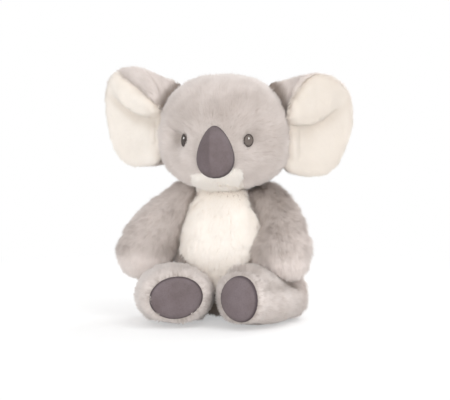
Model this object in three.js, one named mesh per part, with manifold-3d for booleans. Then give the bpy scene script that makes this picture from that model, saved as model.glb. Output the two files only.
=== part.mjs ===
// A seated plush koala, about 20 cm tall: sewn plush covers over loose polyester filling,
// with a bag of pellets in the seat. Millimetres, +Z up. It faces -Y, and +X is its own left.
// The origin is on the ground, at the middle of the torso's flat seat.
import * as THREE from "three";
import { mergeVertices } from "three/addons/utils/BufferGeometryUtils.js";
import Module from "manifold-3d";

const wasm = await Module();
wasm.setup();

// Cloth and sewing
const plush = 3; // thickness of a plush panel: backing and pressed pile
const suede = 1.6; // thickness of the smooth cloth of nose and soles
const seamGap = 0.4; // between two panels at their seam
const clearance = 0.4; // between a piece and what it is sewn to or lies on
const overrun = 30; // how far a cutting shape runs past what it cuts
const pressed = 0.5; // how deep the soft seat and legs are flattened by their own weight

// Colours
const greyPlush = { color: 0xc6bcb5, roughness: 0.95, metalness: 0 };
const creamPlush = { color: 0xf4ebe1, roughness: 0.95, metalness: 0 };
const greySuede = { color: 0x7b706f, roughness: 0.8, metalness: 0 };
const darkThread = { color: 0x5d534e, roughness: 0.6, metalness: 0 };
const whiteThread = { color: 0xf2efeb, roughness: 0.6, metalness: 0 };
const whiteFilling = { color: 0xf7f7f5, roughness: 1, metalness: 0 };
const linen = { color: 0xd8d0c0, roughness: 0.9, metalness: 0 };

// Torso: a pear that stands on its seat, with a cream panel down the front
const torsoHalfWidth = 39;
const torsoHalfDepth = 33;
const torsoHeight = 110;
const torsoFullness = 2.5;
const torsoTaperShare = 0.24;
const bellyOutlineShares = [
  [0.42, 0.2],
  [0.68, 0.36],
  [0.76, 0.52],
  [0.7, 0.66],
  [0.56, 0.8],
  [0.44, 0.95],
  [0.4, 1.1],
];
const bellyPointShare = 0.12;
const bellyTurn = 4; // degrees that the panel is twisted to its right
const pelletHalfWidth = 24;
const pelletHalfDepth = 19;
const pelletHalfHeight = 11;

// Head: wider than deep, with the muzzle pushed out in front
const headHalfWidth = 51;
const headHalfDepth = 41;
const headHalfHeight = 45;
const headForward = 4;
const headSeat = 8.5; // how far the torso's top would reach into the head
const headFullness = 2.35;
const headTaperShare = 0.05;
const muzzleOut = 12;
const muzzleSpread = 27; // degrees from the muzzle's axis to where it has mostly faded
const muzzleDrop = 20; // degrees below level
const neckRadius = 15;
const chinHalfWidth = 24;
const chinBand = 14.5; // height of the cream panel in its middle
const chinCornerRise = 5; // how much higher its corners are
const chinSeamRise = 3; // of its lower seam above the head's lowest point
const chinSeamWidthShare = 0.78;
const headTurn = 20; // degrees each way

// Nose: a suede egg, point up
const noseHalfWidth = 15.3;
const noseHalfDepth = 10;
const noseHalfHeight = 20.8;
const noseDrop = 11.2; // below the head's middle
const noseTaperShare = 0.2;
const noseSunkShare = 0.35;
const noseLean = 8; // degrees that its top leans back

// Eyes: satin stitch with a stitched glint
const eyeHalfWidth = 4.3;
const eyeHalfHeight = 5.6;
const eyeProud = 1.4;
const eyeSpacing = 53;
const eyeDrop = 5.5; // below the head's middle
const glintRadius = 1.3;
const glintUp = 1.9;
const glintProud = 0.8;

// Ears: a grey back like a shallow funnel, closed in front by a cream dish
const earHalfWidth = 28.5;
const earHalfHeight = 39.5;
const earFullness = 2.25;
const earDish = 8; // how far the dish sinks behind its rim
const earCrease = 4; // the extra depth of the crease from the root
const earRim = 4; // half the thickness at the rim
const earDepth = 21; // from the rim's plane back to the root
const earTilt = 10; // degrees that the ear's top leans outwards
const earRootHalfWidth = 9;
const earRootHalfHeight = 31;
const earRootLean = 12; // degrees that the root's top leans inwards, along the head
const earRootRise = 7.5; // above the head's middle
const earRootIn = 23; // from the dish's middle in to the root's middle
const earSewnIn = 12; // how far the funnel runs on past the root before the head cuts it
const earInnerShare = 0.97;
const earGatherShare = 0.8; // of the way from rim to root, where the cloth is gathered
const earCreaseNarrowing = 3;
const earFacing = 25; // degrees that the dish faces outwards
const earFold = 18; // degrees each way
const earForward = 3;
const earSides = {
  left: { side: 1, out: 24, rise: 6 }, // of its middle, from the head's side and middle
  right: { side: -1, out: 22.5, rise: 13 },
};

// Arms: each a soft club from the shoulder to the hand that rests on the thigh
const armHalfWidth = 24.5;
const armHalfDepth = 19.5;
const armShoulderRadius = 19;
const armHandRadius = 19;
const armWidthShares = [0.74, 0.8, 0.91, 0.99, 1, 0.98, 0.92];
const armLift = 45; // degrees, about the shoulder
const armFree = 7; // degrees of lift after which the hand is off the thigh
const armDrop = 19; // of the shoulder's middle below the torso's top
const armReach = 46; // of the hand's middle below the shoulder's
const armSides = {
  left: { side: 1, shoulder: [34, 2], hand: [47, -14], bow: [9, 5] },
  right: { side: -1, shoulder: [32, 2], hand: [64, -12], bow: [2, 5] },
};

// Legs: short and stout, toes turned in, each with a suede sole. Of a leg: half its width and
// height, of a sole: half its width and length.
const legHipRadius = 19;
const legFootRadius = 16;
const legWidthShares = [0.78, 0.84, 0.92, 0.98, 1, 0.98, 0.93];
const legSwing = 18; // degrees, about the back of the hip seam
const legSeamInShare = 0.55;
const legSeamBackShare = 0.8;
const legSides = {
  left: { side: 1, hip: [49, -14], foot: [25, -62], half: [24, 23], sole: [15.5, 19.5], soleTurn: 4 },
  right: { side: -1, hip: [40, -14], foot: [28, -62], half: [31.5, 24], sole: [17, 21], soleTurn: 80 },
};

const rightward = new THREE.Vector3(1, 0, 0);
const backward = new THREE.Vector3(0, 1, 0);
const upward = new THREE.Vector3(0, 0, 1);
const forward = backward.clone().negate();
const radians = THREE.MathUtils.degToRad;
const coarse = { rowCount: 8, sideCount: 14 };
const medium = { rowCount: 10, sideCount: 16 };
const power = (value, exponent) => Math.pow(Math.abs(value), exponent);

// A closed three.js geometry as a solid.
function solidOf(geometry) {
  const bare = geometry.clone();
  bare.deleteAttribute("normal");
  bare.deleteAttribute("uv");
  const merged = mergeVertices(bare, 1e-4);
  return new wasm.Manifold(
    new wasm.Mesh({
      numProp: 3,
      vertProperties: merged.attributes.position.array,
      triVerts: new Uint32Array(merged.index.array),
    }),
  );
}

// A closed skin from a first point to a last one, with rows of sides between: at(v, u) gives
// the point of a row and a side, both as shares of the whole.
function skinSolid(rows, sides, at) {
  const places = [];
  for (let row = 0; row <= rows; row++) {
    const count = row === 0 || row === rows ? 1 : sides;
    for (let side = 0; side < count; side++) {
      places.push(...at(row / rows, side / sides).toArray());
    }
  }
  const corner = (row, side) => {
    if (row === 0) return 0;
    if (row === rows) return 1 + (rows - 1) * sides;
    return 1 + (row - 1) * sides + (side % sides);
  };
  const faces = [];
  for (let row = 0; row < rows; row++) {
    for (let side = 0; side < sides; side++) {
      const [a, b] = [corner(row, side), corner(row, side + 1)];
      const [c, d] = [corner(row + 1, side), corner(row + 1, side + 1)];
      if (a !== b) faces.push(a, b, c);
      if (c !== d) faces.push(b, d, c);
    }
  }
  const geometry = new THREE.BufferGeometry();
  geometry.setAttribute("position", new THREE.Float32BufferAttribute(places, 3));
  const solid = solidOf(geometry.setIndex(faces));
  return solid.volume() > 0 ? solid : solidOf(geometry.setIndex(faces.reverse()));
}

// Where a stuffed form's surface lies in one direction from its middle: a rounded box of three
// half sizes, narrower above by the taper, and pushed out by bumps that fade with the angle.
function surfaceAt(form, way) {
  const { halfWidth, halfDepth, halfHeight, fullness = 2, taperShare = 0, bumps = [] } = form;
  const reach =
    power(way.x / halfWidth, fullness) +
    power(way.y / halfDepth, fullness) +
    power(way.z / halfHeight, fullness);
  let radius = Math.pow(reach, -1 / fullness);
  for (const bump of bumps) {
    const apart = way.angleTo(bump.way) / bump.spread;
    radius += bump.out * Math.exp(-apart * apart);
  }
  const narrow = 1 - (taperShare * way.z * radius) / halfHeight;
  return new THREE.Vector3(way.x * narrow, way.y * narrow, way.z).multiplyScalar(radius);
}

// The whole form, grown or shrunk.
function stuffed(form, grow = 0) {
  return skinSolid(form.rowCount ?? 12, form.sideCount ?? 22, (v, u) => {
    const way = new THREE.Vector3().setFromSphericalCoords(1, Math.PI * v, 2 * Math.PI * u);
    way.set(way.z, way.x, way.y);
    const place = surfaceAt(form, way).addScaledVector(way, grow);
    if (form.lean) place.applyAxisAngle(rightward, form.lean);
    return place.add(form.middle);
  });
}

// A limb along a bowed line, with round ends. Its sections are ovals, and its widths follow
// shares of its half width.
function limb(form, grow = 0) {
  const middle = form.from.clone().lerp(form.to, 1 / 2).add(form.bow);
  const line = new THREE.QuadraticBezierCurve3(form.from, middle, form.to);
  const startRadius = form.startRadius + grow;
  const endRadius = form.endRadius + grow;
  const whole = startRadius + line.getLength() + endRadius;
  const last = form.widthShares.length - 1;
  const widths = new THREE.SplineCurve(
    form.widthShares.map((share, i) => new THREE.Vector2(i / last, share)),
  );
  return skinSolid(10, 14, (v, u) => {
    const along = (whole * (1 - Math.cos(Math.PI * v))) / 2 - startRadius;
    const t = THREE.MathUtils.clamp(along / line.getLength(), 0, 1);
    const way = line.getTangentAt(t);
    const beyond = along < 0 ? along : Math.max(0, along - line.getLength());
    const capRadius = along < 0 ? startRadius : endRadius;
    const cap = Math.sqrt(Math.max(0, 1 - (beyond / capRadius) ** 2));
    const share = widths.getPoint(t).y;
    const across = rightward.clone().addScaledVector(way, -way.x).normalize();
    const deep = way.clone().cross(across);
    const turn = 2 * Math.PI * u;
    return line
      .getPointAt(t)
      .addScaledVector(way, beyond)
      .addScaledVector(across, Math.cos(turn) * cap * (form.halfWidth * share + grow))
      .addScaledVector(deep, Math.sin(turn) * cap * (form.halfHeight * share + grow));
  });
}

// A straight prism over an outline that is drawn to the right and upward from an origin. It
// runs away from the origin along right x up.
function prism(points, origin, right, up, depth) {
  const outline = points.map(([x, y]) => new THREE.Vector2(x, y));
  const geometry = new THREE.ExtrudeGeometry(new THREE.Shape(outline), {
    depth,
    bevelEnabled: false,
  });
  const place = new THREE.Matrix4().makeBasis(right, up, right.clone().cross(up));
  return solidOf(geometry.applyMatrix4(place.setPosition(origin)));
}

// The points of a smooth line, of both its sides mirrored, and of an oval.
function smooth(points) {
  const curve = new THREE.SplineCurve(points.map(([x, y]) => new THREE.Vector2(x, y)));
  return curve.getPoints(2 * points.length).map((place) => place.toArray());
}
const mirrored = (points) => [...points, ...points.map(([x, y]) => [-x, y]).reverse()];
function oval(halfWidth, halfLength, turn = 0) {
  const curve = new THREE.EllipseCurve(0, 0, halfWidth, halfLength, 0, 2 * Math.PI, false, turn);
  return curve.getPoints(18).slice(1).map((place) => place.toArray());
}

// A solid turned about an axis through a pivot.
function turned(solid, pivot, axis, angle) {
  const matrix = new THREE.Matrix4()
    .makeTranslation(pivot)
    .multiply(new THREE.Matrix4().makeRotationAxis(axis, radians(angle)))
    .multiply(new THREE.Matrix4().makeTranslation(pivot.clone().negate()));
  return solid.transform(matrix.elements);
}

// All that a solid passes through between two angles, in steps.
function swept(solid, pivot, axis, from, to, steps) {
  const places = Array.from({ length: steps + 1 }, (_, i) => from + ((to - from) * i) / steps);
  return places
    .map((angle) => turned(solid, pivot, axis, angle))
    .reduce((all, next) => all.add(next));
}

const group = new THREE.Group();

// Adds a solid as a named piece. Crumbs that a cut leaves beside the piece are dropped.
function addPiece(name, solid, finish) {
  const [piece] = solid.decompose().sort((a, b) => b.volume() - a.volume());
  const { vertProperties, triVerts } = piece.getMesh();
  const geometry = new THREE.BufferGeometry();
  geometry.setAttribute("position", new THREE.BufferAttribute(vertProperties, 3));
  geometry.setIndex(new THREE.BufferAttribute(triVerts, 1));
  geometry.computeVertexNormals();
  const mesh = new THREE.Mesh(geometry, new THREE.MeshStandardMaterial(finish));
  mesh.name = name;
  group.add(mesh);
}

const width = 4 * headHalfWidth;
const ground = solidOf(new THREE.BoxGeometry(width, width, overrun).translate(0, 0, -overrun / 2));

// Forms of the torso, the head and the limbs
const torsoForm = {
  middle: new THREE.Vector3(0, 0, torsoHeight / 2 - pressed),
  halfWidth: torsoHalfWidth,
  halfDepth: torsoHalfDepth,
  halfHeight: torsoHeight / 2,
  fullness: torsoFullness,
  taperShare: torsoTaperShare,
};
const muzzleWay = forward.clone().applyAxisAngle(rightward, radians(muzzleDrop));
const headHeight = torsoHeight - headSeat + headHalfHeight;
const headForm = {
  middle: new THREE.Vector3(0, -headForward, headHeight),
  halfWidth: headHalfWidth,
  halfDepth: headHalfDepth,
  halfHeight: headHalfHeight,
  fullness: headFullness,
  taperShare: headTaperShare,
  bumps: [{ way: muzzleWay, out: muzzleOut, spread: radians(muzzleSpread) }],
};
const neck = new THREE.Vector3(0, -headForward, headHeight - headHalfHeight);
const headSweep = (grow) => swept(stuffed(headForm, grow), neck, upward, -headTurn, headTurn, 4);

function legForm({ side, hip, foot, half: [halfWidth, halfHeight] }) {
  const hipHeight = halfHeight * legWidthShares[0] - pressed;
  return {
    from: new THREE.Vector3(side * hip[0], hip[1], hipHeight),
    to: new THREE.Vector3(side * foot[0], foot[1], halfHeight - pressed),
    bow: new THREE.Vector3(),
    startRadius: legHipRadius,
    endRadius: legFootRadius,
    widthShares: legWidthShares,
    halfWidth,
    halfHeight,
    hinge: new THREE.Vector3(
      side * (hip[0] - legSeamInShare * legHipRadius),
      hip[1] + legSeamBackShare * legHipRadius,
      hipHeight,
    ),
  };
}

function armForm({ side, shoulder, hand, bow }) {
  const from = new THREE.Vector3(side * shoulder[0], shoulder[1], torsoHeight - armDrop);
  return {
    from,
    to: new THREE.Vector3(side * hand[0], hand[1], from.z - armReach),
    bow: new THREE.Vector3(side * bow[0], 0, bow[1]),
    startRadius: armShoulderRadius,
    endRadius: armHandRadius,
    widthShares: armWidthShares,
    halfWidth: armHalfWidth,
    halfHeight: armHalfDepth,
    hinge: from,
  };
}

// Torso: cover, belly panel, filling and pellet bag
{
  const bellyOutline = (grow) => {
    const side = bellyOutlineShares.map(([x, z]) => [x * torsoHalfWidth + grow, z * torsoHeight]);
    return mirrored(smooth([[0, bellyPointShare * torsoHeight - grow], ...side]).slice(1));
  };
  const bellyRight = rightward.clone().applyAxisAngle(upward, radians(-bellyTurn));
  const bellyPrism = (grow) =>
    prism(bellyOutline(grow), new THREE.Vector3(), bellyRight, upward, torsoHalfDepth + overrun);
  const outer = stuffed(torsoForm).subtract(headSweep(2 * clearance)).subtract(ground);
  const wall = outer.subtract(stuffed(torsoForm, -plush));
  addPiece("torso_cover", wall.subtract(bellyPrism(seamGap)), greyPlush);
  addPiece("belly_panel", wall.intersect(bellyPrism(0)), creamPlush);

  const bagForm = {
    middle: new THREE.Vector3(0, 0, plush - pressed + clearance + pelletHalfHeight),
    halfWidth: pelletHalfWidth,
    halfDepth: pelletHalfDepth,
    halfHeight: pelletHalfHeight,
    ...coarse,
  };
  const bagWell = prism(
    oval(pelletHalfWidth + clearance, pelletHalfDepth + clearance),
    bagForm.middle,
    backward,
    rightward,
    overrun,
  );
  const filling = stuffed(torsoForm, -plush - clearance).subtract(headSweep(2 * clearance));
  const well = stuffed(bagForm, 2 * clearance).add(bagWell);
  addPiece("torso_filling", filling.subtract(well), whiteFilling);
  addPiece("pellet_bag", stuffed(bagForm), linen);
}

// Head: cover, chin panel and filling
{
  const chinOutline = (grow) => {
    const seam = neck.z + chinSeamRise;
    const top = seam + chinBand + grow;
    const corner = [chinHalfWidth + grow, top + chinCornerRise];
    const below = [chinSeamWidthShare * chinHalfWidth + grow, seam - grow];
    const rise = smooth([[0, top], [corner[0] / 2, (2 * top + corner[1]) / 3], corner]);
    return mirrored([below, ...rise.slice(1).reverse()]);
  };
  const chinPrism = (grow) =>
    prism(chinOutline(grow), new THREE.Vector3(), rightward, upward, width);
  const neckHole = prism(oval(neckRadius, neckRadius), headForm.middle, backward, rightward, width);
  const wall = stuffed(headForm).subtract(stuffed(headForm, -plush)).subtract(neckHole);
  addPiece("head_cover", wall.subtract(chinPrism(seamGap)), greyPlush);
  addPiece("chin_panel", wall.intersect(chinPrism(0)), creamPlush);
  addPiece("head_filling", stuffed(headForm, -plush - clearance), whiteFilling);
}

// Nose: cover and filling, sewn onto the muzzle
const headSkin = stuffed(headForm, clearance);
{
  const surface = surfaceAt(
    headForm,
    new THREE.Vector3(0, -headHalfDepth, -noseDrop).normalize(),
  );
  const noseForm = {
    middle: surface.add(headForm.middle).addScaledVector(backward, noseSunkShare * noseHalfDepth),
    halfWidth: noseHalfWidth,
    halfDepth: noseHalfDepth,
    halfHeight: noseHalfHeight,
    taperShare: noseTaperShare,
    lean: radians(-noseLean),
    ...medium,
  };
  const cover = stuffed(noseForm).subtract(stuffed(noseForm, -suede)).subtract(headSkin);
  addPiece("nose_cover", cover, greySuede);
  const filling = stuffed(noseForm, -suede - clearance).subtract(headSkin);
  addPiece("nose_filling", filling, whiteFilling);
}

// Eyes: patches of stitches that follow the head, each with a smaller patch for its glint
for (const [name, side] of [["left", 1], ["right", -1]]) {
  const patch = (inside, outside, halfWidth, halfHeight, height) => {
    const origin = new THREE.Vector3((side * eyeSpacing) / 2, 0, height);
    const cutter = prism(oval(halfWidth, halfHeight), origin, rightward, upward, width);
    return stuffed(headForm, outside).subtract(stuffed(headForm, inside)).intersect(cutter);
  };
  const proud = clearance + eyeProud;
  const eyeHeight = headHeight - eyeDrop;
  const eye = patch(clearance, proud, eyeHalfWidth, eyeHalfHeight, eyeHeight);
  addPiece(`eye_${name}`, eye, darkThread);
  const glintHeight = eyeHeight + glintUp;
  const glint = patch(
    proud + clearance,
    proud + clearance + glintProud,
    glintRadius,
    glintRadius,
    glintHeight,
  );
  addPiece(`eye_glint_${name}`, glint, whiteThread);
}

// Ears: back and inner panel, folded at the root
for (const [name, { side, out, rise }] of Object.entries(earSides)) {
  const middle = new THREE.Vector3(side * (headHalfWidth + out), -earForward, headHeight + rise);
  const facing = forward.clone().applyAxisAngle(upward, side * radians(earFacing));
  const across = upward.clone().cross(facing).negate().multiplyScalar(-side);
  const root = middle
    .clone()
    .addScaledVector(across, -earRootIn)
    .addScaledVector(facing, -earDepth);
  const place = (x, y, z) =>
    middle.clone().addScaledVector(across, x).addScaledVector(upward, y).addScaledVector(facing, z);
  const tilted = (x, y, z, bulge = 0) => {
    const tilt = radians(THREE.MathUtils.lerp(earTilt, -earRootLean, bulge));
    return place(
      x * Math.cos(tilt) + y * Math.sin(tilt),
      y * Math.cos(tilt) - x * Math.sin(tilt),
      z,
    );
  };
  const corners = (turn) =>
    Math.pow(
      power(Math.cos(turn), earFullness) + power(Math.sin(turn), earFullness),
      -1 / earFullness,
    );
  const dishAt = (r, turn) => {
    const offCrease = (earCreaseNarrowing * Math.sin(turn)) ** 2;
    const crease = Math.max(0, -Math.cos(turn)) * Math.exp(-offCrease);
    return -earDish * (1 - r * r) - earCrease * crease * Math.sin(Math.PI * r);
  };
  const funnel = skinSolid(14, 20, (v, u) => {
    const turn = 2 * Math.PI * u;
    if (v <= 1 / 2) {
      const r = Math.sin(Math.PI * v);
      return tilted(
        r * earHalfWidth * corners(turn) * Math.cos(turn),
        r * earHalfHeight * corners(turn) * Math.sin(turn),
        dishAt(r, turn) + earRim * Math.sqrt(1 - r ** 8),
      );
    }
    const t = 2 * v - 1;
    const toRoot = Math.min(1, t / earGatherShare);
    const inRoot = Math.max(0, t - earGatherShare) / (1 - earGatherShare);
    const closing = Math.sqrt(1 - inRoot ** 2);
    const bulge = toRoot ** (3 / 2);
    const halfWidth = THREE.MathUtils.lerp(earHalfWidth, earRootHalfWidth, bulge);
    const halfHeight = THREE.MathUtils.lerp(earHalfHeight, earRootHalfHeight, bulge);
    return tilted(
      closing * halfWidth * corners(turn) * Math.cos(turn),
      closing * halfHeight * corners(turn) * Math.sin(turn),
      -earDepth * toRoot,
      bulge,
    )
      .addScaledVector(across, -earRootIn * bulge - earSewnIn * inRoot)
      .addScaledVector(upward, (earRootRise - rise) * bulge);
  });
  const dish = (thickness, share, above) =>
    skinSolid(8, 20, (v, u) => {
      const turn = 2 * Math.PI * u;
      const r = share * Math.sin(Math.PI * v);
      return tilted(
        r * earHalfWidth * corners(turn) * Math.cos(turn),
        r * earHalfHeight * corners(turn) * Math.sin(turn),
        dishAt(r, turn) + (v <= 1 / 2 ? above : earRim - thickness),
      );
    });
  const headClear = swept(stuffed(headForm, 2 * clearance), root, upward, -earFold, earFold, 4);
  const backPanel = funnel
    .subtract(dish(plush + seamGap, earInnerShare + seamGap / earHalfWidth, overrun))
    .subtract(headClear);
  addPiece(`ear_back_${name}`, backPanel, greyPlush);
  const innerPanel = funnel.intersect(dish(plush, earInnerShare, overrun)).subtract(headClear);
  addPiece(`ear_inner_${name}`, innerPanel, creamPlush);
}

// Legs: cover, sole and filling. Each hip is cut so that the torso stays clear as the leg swings.
const legsInPlace = [];
for (const [name, leg] of Object.entries(legSides)) {
  const form = legForm(leg);
  const hipTravel = (grow) =>
    swept(stuffed(torsoForm, grow), form.hinge, upward, -leg.side * legSwing, 0, 3);
  const footWay = form.to.clone().sub(form.from).setZ(0).normalize();
  const soleRight = footWay.clone().cross(upward).negate();
  const soleUp = soleRight.clone().cross(footWay).negate();
  const solePrism = (grow) =>
    prism(
      oval(leg.sole[0] + grow, leg.sole[1] + grow, radians(leg.soleTurn) * leg.side),
      form.to,
      soleRight,
      soleUp,
      width,
    );
  const outer = limb(form).subtract(hipTravel(clearance)).subtract(ground);
  const cover = outer.subtract(limb(form, -plush)).subtract(solePrism(seamGap));
  addPiece(`leg_cover_${name}`, cover, greyPlush);
  const sole = outer.subtract(limb(form, -suede)).intersect(solePrism(0));
  addPiece(`sole_${name}`, sole, greySuede);
  const filling = limb(form, -plush - clearance).subtract(hipTravel(clearance));
  addPiece(`leg_filling_${name}`, filling, whiteFilling);
  legsInPlace.push({ form, swing: leg.side * legSwing });
}

// Arms: cover and filling. Each is cut so that torso, head and legs stay clear as it lifts.
const legTravel = (grow) =>
  legsInPlace
    .map(({ form, swing }) => swept(limb(form, grow), form.hinge, upward, 0, swing, 2))
    .reduce((all, next) => all.add(next));
for (const [name, arm] of Object.entries(armSides)) {
  const form = armForm(arm);
  const liftAxis = forward.clone().multiplyScalar(arm.side);
  const around = (solid) => swept(solid, form.hinge, liftAxis, -armLift, 0, 4);
  const under = (solid) => swept(solid, form.hinge, liftAxis, -armFree, 0, 1);
  const torsoTravel = around(stuffed(torsoForm, clearance));
  const within = (solid, room) =>
    solid.subtract(around(headSweep(room))).subtract(under(legTravel(room)));
  const outer = within(limb(form), 2 * clearance).subtract(torsoTravel);
  const inside = within(limb(form, -plush), 2 * clearance + plush);
  addPiece(`arm_cover_${name}`, outer.subtract(inside), greyPlush);
  const filling = within(limb(form, -plush - clearance), 3 * clearance + plush);
  addPiece(`arm_filling_${name}`, filling.subtract(torsoTravel), whiteFilling);
}

export default group;
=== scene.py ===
import functools
import math

import bpy
import numpy as np
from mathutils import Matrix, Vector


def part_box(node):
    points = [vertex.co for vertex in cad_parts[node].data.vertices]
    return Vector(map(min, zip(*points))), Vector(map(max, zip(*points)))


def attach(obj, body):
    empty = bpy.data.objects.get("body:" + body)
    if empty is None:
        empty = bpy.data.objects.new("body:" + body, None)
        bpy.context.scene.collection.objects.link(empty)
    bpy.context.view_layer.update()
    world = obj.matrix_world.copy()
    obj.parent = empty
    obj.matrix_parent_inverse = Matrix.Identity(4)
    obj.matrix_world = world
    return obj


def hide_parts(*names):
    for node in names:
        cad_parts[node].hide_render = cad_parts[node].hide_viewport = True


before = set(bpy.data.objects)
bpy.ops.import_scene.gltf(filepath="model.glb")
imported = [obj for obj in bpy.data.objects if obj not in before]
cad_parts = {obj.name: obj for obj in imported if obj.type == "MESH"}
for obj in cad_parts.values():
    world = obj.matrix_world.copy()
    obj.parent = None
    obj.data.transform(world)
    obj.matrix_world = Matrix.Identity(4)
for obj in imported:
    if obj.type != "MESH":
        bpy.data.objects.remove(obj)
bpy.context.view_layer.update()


# Torso. A pear of long-pile grey plush, cut in a few gores and sewn inside out, then turned and
# stuffed with polyester through the seat. The pile is brushed downwards and lies in soft tufts.
# The cloth skin lies under the pile, which reaches a little beyond the solid's surface.
MM = 0.001
PILE_DEPTH = 3.2 * MM  # from the solid's surface in to the cloth that the pile grows from
GROUND = 0.3 * MM  # how far the lowest strands stay off the ground
rng = np.random.default_rng(20)


def unit(vectors):
    """Each vector divided by its own length."""
    return vectors / np.maximum(np.linalg.norm(vectors, axis=-1, keepdims=True), 1e-12)


def smoothstep(low, high, value):
    """0 below low and 1 above high, with a level start and end between them."""
    t = np.clip((value - low) / (high - low), 0, 1)
    return t * t * (3 - 2 * t)


def over_mm(low, high, value):
    """The same step, between two lengths in mm."""
    return smoothstep(low * MM, high * MM, value)


def bell(apart):
    """One in the middle, fading out with distance: e to the power of minus its square."""
    return np.exp(-apart * apart)


def grid_around(shares, sides):
    """A grid with one of the shares for each row and one turn, in radians, for each column."""
    return np.meshgrid(shares, 2 * math.pi * (np.arange(sides) / sides), indexing="ij")


def directions(rows, sides):
    """Unit vectors on a grid: rows turn by 180 degrees, from straight up to straight down, and
    columns by 360 around the upright axis."""
    share, turn = grid_around(np.linspace(0, 1, rows + 1), sides)
    polar = math.pi * share
    return np.stack(
        [np.sin(polar) * np.cos(turn), np.sin(polar) * np.sin(turn), np.cos(polar)], -1
    )


def form_radius(form, way):
    """How far a stuffed form reaches from its middle: a rounded box, where the shares of the half
    sizes to the power of the fullness add up to one, pushed out by bumps that fade with angle."""
    reach = ((np.abs(way) / form["half"]) ** form["fullness"]).sum(-1)
    radius = reach ** (-1 / form["fullness"])
    for bump_way, out, spread in form["bumps"]:
        apart = np.arccos(np.clip(way @ bump_way, -1, 1)) / spread
        radius = radius + out * bell(apart)
    return radius


def form_points(form, way, grow):
    """Points of a stuffed form in the given directions: the reach along each, narrowed upwards by
    the taper, and grown or shrunk along the direction."""
    radius = form_radius(form, way)
    narrow = 1 - form["taper"] * way[..., 2] * radius / form["half"][2]
    widths = np.stack([narrow, narrow, np.ones_like(narrow)], -1)
    return form["middle"] + way * widths * radius[..., None] + grow * way


def depth_inside(form, points):
    """How deep points lie under a form's surface, positive inside: the reach in a point's direction
    from the middle, with the taper undone, less its distance."""
    away = points - form["middle"]
    narrow = 1 - form["taper"] * np.clip(away[:, 2] / form["half"][2], -1, 1)
    away = away / np.stack([narrow, narrow, np.ones_like(narrow)], -1)
    return form_radius(form, unit(away)) - np.linalg.norm(away, axis=-1)


def skin(points, first_closed=True, last_closed=True):
    """Vertices and faces of a grid of points that closes around its columns. Where it is closed at
    an end too, that row shrinks to one point, with a fan of triangles."""
    rows, sides = points.shape[:2]
    body = points[int(first_closed) : rows - int(last_closed)]
    count = body.shape[0]
    index = np.arange(count * sides).reshape(count, sides)
    around = np.roll(index, -1, axis=1)
    quads = np.stack([index[:-1], index[1:], around[1:], around[:-1]], -1).reshape(-1, 4)
    vertices, fans = [body.reshape(-1, 3)], [np.zeros((0, 3), int)]
    pole = np.full(sides, count * sides)
    if first_closed:
        vertices.append(points[0, :1])
        fans.append(np.stack([pole, index[0], around[0]], -1))
        pole = pole + 1
    if last_closed:
        vertices.append(points[-1, :1])
        fans.append(np.stack([pole, around[-1], index[-1]], -1))
    return np.concatenate(vertices), quads, np.concatenate(fans)


def make_mesh(name, vertices, quads, triangles, material):
    """A smooth-shaded mesh object from whole arrays of vertices and faces, turned outwards."""
    corners = np.concatenate([quads.ravel(), triangles.ravel()]).astype(np.int32)
    sizes = np.concatenate([np.full(len(quads), 4), np.full(len(triangles), 3)]).astype(np.int32)
    mesh = bpy.data.meshes.new(name)
    mesh.vertices.add(len(vertices))
    mesh.vertices.foreach_set("co", np.ascontiguousarray(vertices, np.float32).ravel())
    mesh.loops.add(len(corners))
    mesh.loops.foreach_set("vertex_index", corners)
    mesh.polygons.add(len(sizes))
    mesh.polygons.foreach_set("loop_start", (np.cumsum(sizes) - sizes).astype(np.int32))
    mesh.update(calc_edges=True)
    mesh.shade_smooth()
    mesh.materials.append(material)
    piece = bpy.data.objects.new(name, mesh)
    bpy.context.scene.collection.objects.link(piece)
    return piece


def mark_points(piece, name, values):
    """Writes one number, or one vector, for each vertex of a piece."""
    kind, field = ("FLOAT_VECTOR", "vector") if values.ndim > 1 else ("FLOAT", "value")
    marks = piece.data.attributes.new(name, kind, "POINT")
    marks.data.foreach_set(field, values.astype(np.float32).ravel())


def linear(colour):
    """An sRGB hex colour as linear red, green, blue and full alpha."""
    parts = [int(colour[i : i + 2], 16) / 255 for i in (1, 3, 5)]
    return [p / 12.92 if p <= 0.04045 else ((p + 0.055) / 1.055) ** 2.4 for p in parts] + [1]


def new_material(name):
    """An empty node material, and the function that adds a node to it."""
    material = bpy.data.materials.new(name)
    material.use_nodes = True
    material.node_tree.nodes.clear()
    return material, functools.partial(add_node, material.node_tree)


def add_node(tree, kind, settings=None, inputs=None):
    """A node with its settings, and its inputs by socket name or number. An input is a plain value,
    or a link: another node together with the name or number of its output."""
    node = tree.nodes.new("ShaderNode" + kind)
    for key, value in (settings or {}).items():
        setattr(node, key, value)
    for key, value in (inputs or {}).items():
        if isinstance(value, tuple):
            source, output = value
            tree.links.new(source.outputs[output], node.inputs[key])
        else:
            node.inputs[key].default_value = value
    return node


MIXED = {"data_type": "RGBA"}  # two colours, sockets 6 and 7, mixed by the share in 0, into 2
STAIN_SIZE = 22 * MM
WORN_SPREAD = 0.3  # how much further along its pale tip one strand is worn than another
FULL_SHADE = 1.5  # the painted shade at which the pile shows nothing but its shade colour


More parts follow.
